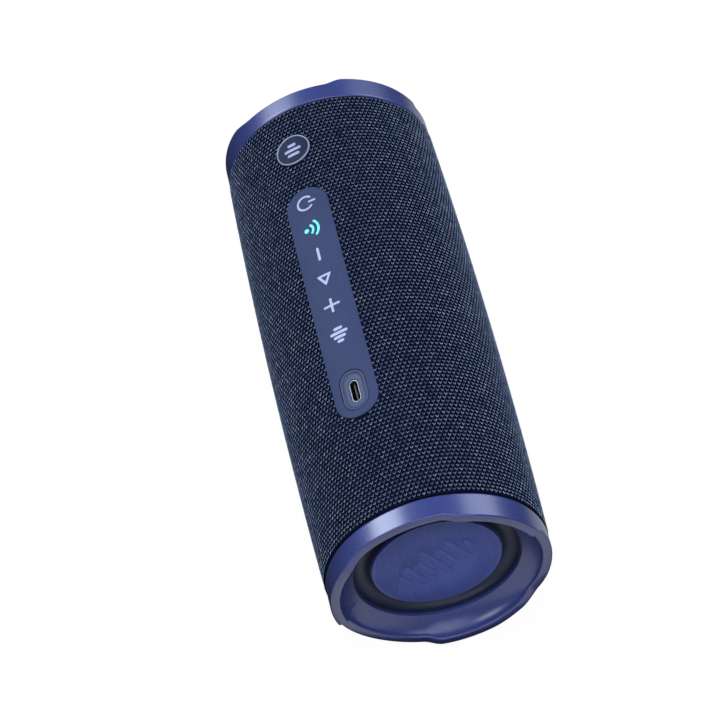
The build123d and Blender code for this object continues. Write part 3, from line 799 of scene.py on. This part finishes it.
up = mid3((-0.3, 28.2), (-3.85, RM), (-1.65, 22.2), 10)
lo_ = mid3((-0.8, 28.05), (-4.35, RM), (-2.1, 22.45), 10)
for side, sg in S.items():
    body = "radiator_" + side
    outer = [(-0.8, 29.7), (-0.3, 29.7), (-0.3, 28.9)] + up[:11] + lo_[:11][::-1] + [(-0.8, 28.9)]
    inner = up[10:] + [(-1.65, 21.4), (-1.65, 20.5), (-2.1, 20.5), (-2.1, 21.4)] + lo_[10:][::-1]
    po = lathe(f"surround_outer_{side}", [[(H + a, r) for a, r in outer]] * 180, True, [M["roll"]], sharp=50, x_sign=sg)
    pi_ = lathe(f"surround_inner_{side}", [[(H + a, r) for a, r in inner]] * 180, True, [M["roll"]], sharp=50, x_sign=sg)
    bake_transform(po)
    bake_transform(pi_)
    for o in (po, pi_):
        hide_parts("radiator_surround_" + side)

    # disc with a rounded rim, fine straight ribs and a raised neutral relief
    prof = [(-1.6, 0.0), (-1.6, 21.9)] + [(-0.5, 22.0)] + arc(-0.42, 21.68, 0.32, 90, 0, 6) + [(-0.1, 21.2), (-0.1, 0.0)]
    sec = np.array([[(H + a, max(r, 0.0)) for a, r in prof]] * 144)
    o = lathe("visual_radiator_plate_" + side, sec, False, [M["disc"]], sharp=45, x_sign=sg)
    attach(o, body)
    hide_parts("radiator_plate_" + side)

    bars = [(-13.2, 6.5), (-8.8, 13.0), (-4.4, 9.5), (0.0, 18.0), (4.4, 11.5), (8.8, 15.0), (13.2, 6.0)]
    tilt = math.radians(38)
    ct, st_ = math.cos(tilt), math.sin(tilt)

    flat = lambda y, z, off: np.stack([np.full(np.shape(y), 0.0) + sg * (H - 0.1 + np.asarray(off)), y,
                                       AZ + np.asarray(z, float)], -1)
    b = Build(lambda y, z, off: flat(y, z, off))
    rel = []
    for c, hgt in bars:
        p0 = np.array([c * ct, c * st_]) - np.array([-st_, ct]) * (hgt - 2.2) / 2
        p1 = np.array([c * ct, c * st_]) + np.array([-st_, ct]) * (hgt - 2.2) / 2
        rel.append((p0, p1))
        widths = [(2.2, -0.05), (2.2, 0.18), (2.05, 0.28), (1.8, 0.32)]
        loops = []
        for wd, of in widths:
            d = p1 - p0
            a0 = math.atan2(d[1], d[0])
            pts = [(p1[0] + wd / 2 * math.cos(a0 - math.pi / 2 + math.pi * q / 12),
                    p1[1] + wd / 2 * math.sin(a0 - math.pi / 2 + math.pi * q / 12)) for q in range(13)]
            pts += [(p0[0] + wd / 2 * math.cos(a0 + math.pi / 2 + math.pi * q / 12),
                     p0[1] + wd / 2 * math.sin(a0 + math.pi / 2 + math.pi * q / 12)) for q in range(13)]
            loops.append((np.array(pts), of))
        b.wall(loops[::-1])
        b.cap(loops[-1][0], (), 0.32, True, 50)
        b.cap(loops[0][0], (), -0.05, False, 50)
    o = b.done("radiator_relief_" + side, [M["disc"]], sharp=60)
    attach(o, body)

    # ribs: straight prisms with a rounded back, broken where the relief stands
    V, F = [], []
    pitch, wdt, hgt_ = 0.76, 0.52, 0.13
    for y in np.arange(-20.9, 20.95, pitch):
        zmax = math.sqrt(max(21.15 ** 2 - (abs(y) + wdt / 2) ** 2, 0))
        if zmax < 1:
            continue
        zs = np.linspace(-zmax, zmax, int(zmax * 2 / 0.1) + 2)
        ok = np.ones(len(zs), bool)
        for p0, p1 in rel:
            d = p1 - p0
            q = np.stack([np.full(len(zs), y), zs], -1) - p0
            t = np.clip(q @ d / (d @ d), 0, 1)
            ok &= np.linalg.norm(q - t[:, None] * d, axis=1) > 1.1 + wdt / 2 + 0.15
        runs, k = [], 0
        while k < len(zs):
            if ok[k]:
                j = k
                while j + 1 < len(zs) and ok[j + 1]:
                    j += 1
                if zs[j] - zs[k] > 0.6:
                    runs.append((zs[k], zs[j]))
                k = j + 1
            else:
                k += 1
        for z0, z1 in runs:
            yy = np.array([-0.5, -0.36, -0.14, 0.14, 0.36, 0.5]) * wdt
            hh = np.array([-0.04, 0.7 * hgt_, hgt_, hgt_, 0.7 * hgt_, -0.04])
            k0 = len(V)
            for z_, sc in ((z0, 0.0), (z0 + 0.15, 1.0), (z1 - 0.15, 1.0), (z1, 0.0)):
                for a, hgt2 in zip(yy, hh):
                    V.append(flat(y + a, z_, hgt2 * sc if hgt2 > 0 else hgt2))
            for m_ in range(3):
                for a in range(6):
                    a2 = (a + 1) % 6
                    F.append((k0 + m_ * 6 + a, k0 + m_ * 6 + a2, k0 + m_ * 6 + 6 + a2, k0 + m_ * 6 + 6 + a))
            F.append(tuple(k0 + a for a in range(6)))
            F.append(tuple(k0 + 18 + a for a in range(6))[::-1])
    o = obj("radiator_ribs_" + side, np.array(V), F, [M["disc"]], sharp=None)
    bm = bmesh.new()
    bm.from_mesh(o.data)
    bmesh.ops.recalc_face_normals(bm, faces=bm.faces)
    bm.to_mesh(o.data)
    bm.free()
    sharpen(o, 50)
    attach(o, body)

# ------------------------------------------------------------------ drivers' rolls between basket and cone, each built in two halves
def lathe_y(name, cx, prof, mat, n=96):
    """Solid of revolution about the line x = cx, z = AZ along Y; prof is a closed list of (radius, y)."""
    p = np.array(prof, float)
    a = 2 * math.pi * np.arange(n) / n
    v = np.stack([cx + p[None, :, 0] * np.cos(a)[:, None], np.broadcast_to(p[None, :, 1], (n, len(p))),
                  AZ + p[None, :, 0] * np.sin(a)[:, None]], -1).reshape(-1, 3)
    idx = np.arange(n * len(p)).reshape(n, len(p))
    nb = np.roll(idx, -1, 0)
    f = np.concatenate([np.stack([idx[:, k], idx[:, (k + 1) % len(p)], nb[:, (k + 1) % len(p)], nb[:, k]], -1)
                        for k in range(len(p))])
    return sharpen(clean(obj(name, v, f.tolist(), [mat], sharp=None)), 50)


roll_up = mid3((18.55, -29.05), (16.7, -30.55), (14.85, -28.85), 8)
roll_lo = mid3((18.2, -28.65), (16.7, -30.1), (15.25, -28.4), 8)
for side in S:
    cx = centre_x("driver_surround_" + side)
    halves = (("outer", [(20.4, -28.65), (20.4, -29.05)] + roll_up[:9] + roll_lo[:9][::-1], -29.05, -31.60),
              ("inner", roll_up[8:] + [(13.9, -28.75), (13.9, -28.35)] + roll_lo[8:][::-1], -31.80, -28.85))
    for half, prof, y0, y1 in halves:
        o = lathe_y(f"driver_roll_{half}_{side}", cx, prof, M["roll"])
        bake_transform(o)
        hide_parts("driver_surround_" + side)

# ------------------------------------------------------------------ knitted sleeve
def strip_w(x, th):
    """Across-the-strip coordinate of a point on the sleeve at angle th."""
    return r_out(x) * np.sin(np.radians(TH - th))


def in_stadium(x, w, length, width, cx=0.0):
    """Signed distance to a stadium's outline, negative inside."""
    h = (length - width) / 2
    return np.hypot(np.maximum(np.abs(x - cx) - h, 0), w) - width / 2


BASE = -0.30
th_list = np.concatenate([np.linspace(TH - 16, TH + 16, 41), np.linspace(TH + 16, TH + 344, 165)[1:-1]])
x_list = np.concatenate([np.linspace(-H + 1.2, -51.8, 16)[:-1], np.linspace(-51.8, -42, 17)[:-1], np.linspace(-42, 42, 29)[:-1],
                         np.linspace(42, 51.8, 17)[:-1], np.linspace(51.8, H - 1.2, 16)])
edge_rows = [(H - 0.02, -0.74), (H - 0.12, -0.55), (H - 0.3, -0.40), (H - 0.6, -0.32)]
rows = [(-a, o) for a, o in edge_rows] + [(a, BASE) for a in x_list] + [(a, o) for a, o in edge_rows[::-1]]
nx, nth = len(rows), len(th_list)
outer = np.stack([on_axis(a, r_out(a) + o, th_list) for a, o in rows])
inner = np.stack([on_axis(a, r_out(a) - 0.78, th_list) for a, o in rows])
ids = np.arange(nx * nth).reshape(nx, nth)
A = ids[:-1]
Bq = ids[1:]
quads = np.stack([A, np.roll(A, -1, 1), np.roll(Bq, -1, 1), Bq], -1).reshape(-1, 4)
xs_ = np.repeat([a for a, _ in rows], nth)
thv = np.tile(th_list, nx)
sd = in_stadium(xs_, strip_w(xs_, thv), STRIP_L - 2.4, STRIP_W - 2.4, STRIP_X)
front = np.cos(np.radians(thv - TH)) > 0
core = (sd < 0.12) & front
keep = ~core[quads].any(1)
quads = quads[keep]
n = nx * nth
F = [tuple(q) for q in quads] + [tuple(int(i) + n for i in q[::-1]) for q in quads]
e = np.sort(np.concatenate([quads[:, [0, 1]], quads[:, [1, 2]], quads[:, [2, 3]], quads[:, [3, 0]]]), 1)
ue, cnt = np.unique(e, axis=0, return_counts=True)
for a, c in ue[cnt == 1]:
    F.append((int(a), int(c), int(c) + n, int(a) + n))
V = np.concatenate([outer.reshape(-1, 3), inner.reshape(-1, 3)])
sleeve = obj("visual_fabric_sleeve", V, F, [M["ground"]], sharp=None)
bm = bmesh.new()
bm.from_mesh(sleeve.data)
bmesh.ops.delete(bm, geom=[v for v in bm.verts if not v.link_faces], context="VERTS")
bmesh.ops.recalc_face_normals(bm, faces=bm.faces)
bm.to_mesh(sleeve.data)
bm.free()
sharpen(sleeve, 60)
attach(sleeve, "speaker")
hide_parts("fabric_sleeve")

# stitches: short bent threads in staggered rows, in four close shades
rng = np.random.default_rng(7)
NROW, NCOL = 115, 144
PA, PC = 1.55, 360.0 / NCOL
ri, ci = np.meshgrid(np.arange(NROW), np.arange(NCOL), indexing="ij")
kx = (ri - (NROW - 1) / 2) * PA
kt = TH + PC * (ci + 0.5 * (ri % 2))
kx, kt = kx.ravel(), kt.ravel()
w = strip_w(kx, kt)
up_ = np.cos(np.radians(kt - TH)) > 0
wf = r_out(kx) * np.sin(np.radians(-90 - kt))
dn = np.cos(np.radians(kt + 90)) > 0
ok = ~(up_ & (in_stadium(kx, w, STRIP_L, STRIP_W, STRIP_X) < 0.42))
ok &= ~(up_ & (np.hypot(kx - BADGE_X, w) < BADGE_R + 0.55))
ok &= ~(dn & (in_stadium(kx, wf, FOOT_L, FOOT_W) < 0.45))
kx, kt = kx[ok], kt[ok]
K = len(kx)
# stations of one stitch: (around, along, half width, height above the ground)
ST = np.array([[-0.58, -0.54, 0.00, 0.03], [-0.38, -0.20, 0.15, 0.17], [-0.02, 0.32, 0.18, 0.13],
               [0.36, -0.18, 0.15, 0.19], [0.64, -0.58, 0.00, 0.03]])
jit = 1 + 0.07 * rng.standard_normal((K, 3))
rot = np.radians(4.0 * rng.standard_normal(K))
DIRS = np.gradient(ST[:, :2], axis=0)
DIRS /= np.linalg.norm(DIRS, axis=1)[:, None]
NRM = np.stack([-DIRS[:, 1], DIRS[:, 0]], -1)
local = []                                            # (around, along, height)
for i, (c, a, hw, ht) in enumerate(ST):
    if hw == 0:
        local.append((c, a, ht))
    else:
        local += [(c + NRM[i, 0] * hw, a + NRM[i, 1] * hw, -0.04), (c, a, ht), (c - NRM[i, 0] * hw, a - NRM[i, 1] * hw, -0.04)]
local = np.array(local)
tri = []
tri += [(0, 1, 2), (0, 2, 3), (0, 3, 1)]
for s in (1, 4):
    for a, c in ((0, 1), (1, 2), (2, 0)):
        tri += [(s + a, s + 3 + a, s + 3 + c), (s + a, s + 3 + c, s + c)]
tri += [(10, 8, 7), (10, 9, 8), (10, 7, 9)]
tri = np.array(tri)
c = local[None, :, 0] * jit[:, 0:1]
a = local[None, :, 1] * jit[:, 1:2]
hgt = local[None, :, 2] * jit[:, 2:3]
cr, sr = np.cos(rot)[:, None], np.sin(rot)[:, None]
c, a = c * cr - a * sr, c * sr + a * cr
R = r_out(kx)[:, None]
# a positive turn runs towards the reader's left, so the long arm trails to the right
pts = on_axis(kx[:, None] + a, R + BASE + hgt, kt[:, None] - np.degrees(c / R))
shade = rng.choice(4, K, p=[0.5, 0.25, 0.15, 0.1])
for side, sel in (("left", kx < 0), ("right", kx >= 0)):
    idx = np.nonzero(sel)[0]
    V = pts[idx].reshape(-1, 3)
    F = (tri[None] + (11 * np.arange(len(idx)))[:, None, None]).reshape(-1, 3)
    me = bpy.data.meshes.new("stitches_" + side)
    me.vertices.add(len(V))
    me.vertices.foreach_set("co", (V * MM).ravel())
    me.loops.add(F.size)
    me.loops.foreach_set("vertex_index", F.ravel().astype(np.int32))
    me.polygons.add(len(F))
    me.polygons.foreach_set("loop_start", np.arange(0, F.size, 3, dtype=np.int32))
    for m in YARN:
        me.materials.append(m)
    me.polygons.foreach_set("material_index", np.repeat(shade[idx], len(tri)).astype(np.int32))
    me.polygons.foreach_set("use_smooth", [True] * len(F))
    me.update(calc_edges=True)
    me.validate()
    o = bpy.data.objects.new("stitches_" + side, me)
    SC.collection.objects.link(o)
    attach(o, "speaker")

# ------------------------------------------------------------------ anti-roll foot
b = Build(lambda x, w, n: np.stack([np.broadcast_arrays(x, w, n)[0], np.broadcast_arrays(x, w, n)[1],
                                    AZ - np.broadcast_arrays(x, w, n)[2]], -1))


def fl(inset):
    return stadium(FOOT_L - 2 * inset, FOOT_W - 2 * inset, 0, 0, 28, 60)


def under(loop, off):
    return np.sqrt((r_out(loop[:, 0]) + off) ** 2 - loop[:, 1] ** 2)


slots = [stadium(106, 1.8, 0, w_, 8, 50) for w_ in (-4.6, 0.0, 4.6)]
rnd = [(fl(i), AZ - d) for i, d in rounding(0.5, 4)]
b.cap(rnd[0][0], slots, AZ, True, 2.5)
b.wall([(l, np.full(len(l), float(n))) for l, n in rnd] + [(fl(0), under(fl(0), -0.28))])
for s_ in slots:
    b.wall([(s_, AZ), (s_, AZ - 0.45)], hole=True)
    b.cap(s_, (), AZ - 0.45, True, 2.5)
b.cap(fl(0), (), lambda v: under(v, -0.28), False, 3.0)
o = b.done("visual_foot_strip", [M["foot"]])
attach(o, "speaker")
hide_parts("foot_strip")

# ------------------------------------------------------------------ inner parts keep their own solids, with proper finishes
FIN = {
    "grille_cage": ("dark", "cage_plastic"), "front_shell": ("dark", "shell_plastic"), "rear_shell": ("dark", "shell_plastic"),
    "end_screws": ("black_steel", "screw_steel"), "driver_screws": ("black_steel", "screw_steel"),
    "radiator_weight_left": ("steel", "steel"), "radiator_weight_right": ("steel", "steel"),
    "radiator_frame_left": ("dark", "shell_plastic"), "radiator_frame_right": ("dark", "shell_plastic"),
    "end_gasket_left": ("foam", "foam"), "end_gasket_right": ("foam", "foam"),
    "driver_gasket_left": ("foam", "foam"), "driver_gasket_right": ("foam", "foam"),
    "driver_basket_left": ("black_steel", "basket_steel"), "driver_basket_right": ("black_steel", "basket_steel"),
    "driver_magnet_left": ("magnet", "magnet"), "driver_magnet_right": ("magnet", "magnet"),
    "driver_cone_left": ("cone", "cone_paper"), "driver_cone_right": ("cone", "cone_paper"),
    "driver_dust_cap_left": ("cap", "cap_alu"), "driver_dust_cap_right": ("cap", "cap_alu"),
    "driver_spider_left": ("cloth", "spider_cloth"), "driver_spider_right": ("cloth", "spider_cloth"),
    "driver_voice_coil_left": ("copper", "coil"), "driver_voice_coil_right": ("copper", "coil"),
    "main_board": ("pcb", "pcb"), "key_board": ("pcb", "pcb"), "usb_board": ("pcb", "pcb"),
    "board_parts": ("chip", "chip"), "key_switches": ("dark", "switch"), "pairing_led": ("lit", "led"),
    "battery_cells": ("wrap", "cell_wrap"), "battery_holder": ("dark", "shell_plastic"),
    "battery_leads": ("lead", "lead"), "speaker_leads": ("lead", "lead"),
}
for name, o in frame["nodes"].items():
    if o.hide_render:
        continue
    m, s_ = FIN[name]
    o.data.materials.clear()
    o.data.materials.append(M[m])

# ------------------------------------------------------------------ floor, light, camera
SC.view_settings.view_transform = "Standard"


def white_to_the_eye(m, shader_out, strength, target):
    """The studio sweep reads plain white when looked at, and throws back less light than white paint would."""
    nt = m.node_tree
    lp = nt.nodes.new("ShaderNodeLightPath")
    em = nt.nodes.new("ShaderNodeEmission" if target != "world" else "ShaderNodeBackground")
    em.inputs["Color"].default_value = (1, 1, 1, 1)
    em.inputs["Strength"].default_value = strength
    mix = nt.nodes.new("ShaderNodeMixShader")
    nt.links.new(lp.outputs["Is Camera Ray"], mix.inputs[0])
    nt.links.new(shader_out, mix.inputs[1])
    nt.links.new(em.outputs[0], mix.inputs[2])
    return mix.outputs[0]


me = bpy.data.meshes.new("studio_floor")
me.from_pydata([(-4, -4, 0), (4, -4, 0), (4, 4, 0), (-4, 4, 0)], [], [(0, 1, 2, 3)])
fm = bpy.data.materials.new("studio_floor_white")
fm.use_nodes = True
p = fm.node_tree.nodes["Principled BSDF"]
p.inputs["Base Color"].default_value = (FLOOR_ALBEDO, FLOOR_ALBEDO, FLOOR_ALBEDO, 1)
p.inputs["Roughness"].default_value = 0.9
p.inputs["Specular IOR Level"].default_value = 0.0
out = fm.node_tree.nodes["Material Output"]
add = fm.node_tree.nodes.new("ShaderNodeAddShader")
em = fm.node_tree.nodes.new("ShaderNodeEmission")
em.inputs["Strength"].default_value = 0.975
fm.node_tree.links.new(em.outputs[0], add.inputs[0])
fm.node_tree.links.new(p.outputs[0], add.inputs[1])
lp = fm.node_tree.nodes.new("ShaderNodeLightPath")
mix = fm.node_tree.nodes.new("ShaderNodeMixShader")
fm.node_tree.links.new(lp.outputs["Is Camera Ray"], mix.inputs[0])
fm.node_tree.links.new(p.outputs[0], mix.inputs[1])
fm.node_tree.links.new(add.outputs[0], mix.inputs[2])
fm.node_tree.links.new(mix.outputs[0], out.inputs["Surface"])
me.materials.append(fm)
floor = bpy.data.objects.new("studio_floor", me)
floor.location = (0, 0, -0.0003)
SC.collection.objects.link(floor)

world = bpy.data.worlds.new("studio")
SC.world = world
world.use_nodes = True
bg = world.node_tree.nodes["Background"]
bg.inputs["Color"].default_value = (0.80, 0.86, 1.0, 1)
bg.inputs["Strength"].default_value = AMBIENT
world.node_tree.links.new(white_to_the_eye(world, bg.outputs[0], 1.0, "world"), world.node_tree.nodes["World Output"].inputs["Surface"])


def softbox(name, direction, dist, across, along, power, color=(1, 1, 1), glossy=True, diffuse=True, shift=0.0):
    """Rectangular softbox whose narrow side runs round the cylinder, slid along X by shift."""
    d = Vector(direction).normalized()
    c = Vector((1, 0, 0)).cross(d).normalized()
    ld = bpy.data.lights.new(name, "AREA")
    ld.shape = "RECTANGLE"
    ld.size, ld.size_y = across, along
    ld.energy = power
    ld.color = color
    o = bpy.data.objects.new(name, ld)
    m_ = Matrix((c, d.cross(c), d)).transposed().to_4x4()
    m_.translation = Vector((0, 0, 0.04)) + d * dist + d.cross(c) * shift
    o.matrix_world = m_
    o.visible_glossy = glossy
    o.visible_diffuse = diffuse
    o.visible_camera = False
    SC.collection.objects.link(o)
    return o


def floor_card(name, x, y, sx, sy, power, glossy, diffuse):
    """Pale card lying on the floor."""
    ld = bpy.data.lights.new(name, "AREA")
    ld.shape = "RECTANGLE"
    ld.size, ld.size_y = sx, sy
    ld.energy = power
    o = bpy.data.objects.new(name, ld)
    o.matrix_world = Matrix(((1, 0, 0, x), (0, -1, 0, y), (0, 0, -1, 0.0005), (0, 0, 0, 1)))
    o.visible_glossy = glossy
    o.visible_diffuse = diffuse
    o.visible_camera = False
    SC.collection.objects.link(o)
    return o


softbox("key_left", (-0.577, -0.617, 0.536), 1.0, 0.48, 0.75, LIGHTS[0], (0.88, 0.94, 1.0), diffuse=False, shift=0.2)
softbox("key_right", (-0.576, 0.600, 0.554), 1.0, 0.55, 0.75, LIGHTS[1], (0.88, 0.94, 1.0), diffuse=False, shift=0.23)
softbox("fill_top", (0.20, -0.13, 1.0), 1.4, 0.8, 1.3, LIGHTS[2], glossy=False)
softbox("front_sky", (0.75, 0.10, 0.60), 1.5, 1.2, 1.2, 8.0, diffuse=False)
softbox("front_card", (0.54, -0.64, 0.53), 1.0, 0.4, 0.4, 2.2, diffuse=False)
softbox("fill_front", (0.10, -1.0, 0.22), 1.4, 1.0, 1.2, 1.6, glossy=False)
softbox("fill_back", (-0.10, 1.0, 0.30), 1.4, 1.0, 1.2, 2.0, glossy=False)
softbox("fill_left", (-1.0, 0.0, 0.35), 1.4, 1.0, 1.0, 3.0, glossy=False)
floor_card("front_gloss", 0.362, 0.0, 0.5, 0.5, 0.68, True, False)
floor_card("front_edge", 0.1068, -0.0225, 0.0104, 0.025, 0.00072, True, False)
floor_card("front_bounce", 0.36, 0.16, 0.5, 0.4, 0.38, False, True)
floor_card("side_gloss", -0.13, 0.115, 0.42, 0.13, 0.11, True, False)

cam = bpy.data.cameras.new("camera")
cam.lens, cam.sensor_width, cam.sensor_height = 153.08, 36.0, 36.0
cam.clip_start, cam.clip_end = 0.05, 20.0
co = bpy.data.objects.new("camera", cam)
right = Vector((0.19878, 0.98004, 0.0))
upv = Vector((-0.7588, 0.15389, 0.63288))
fwd = Vector((-0.62024, 0.12582, -0.77425))
m = Matrix((right, upv, -fwd)).transposed().to_4x4()
m.translation = Vector((0.65692, -0.14088, 0.85997))
co.matrix_world = m
SC.collection.objects.link(co)
SC.camera = co
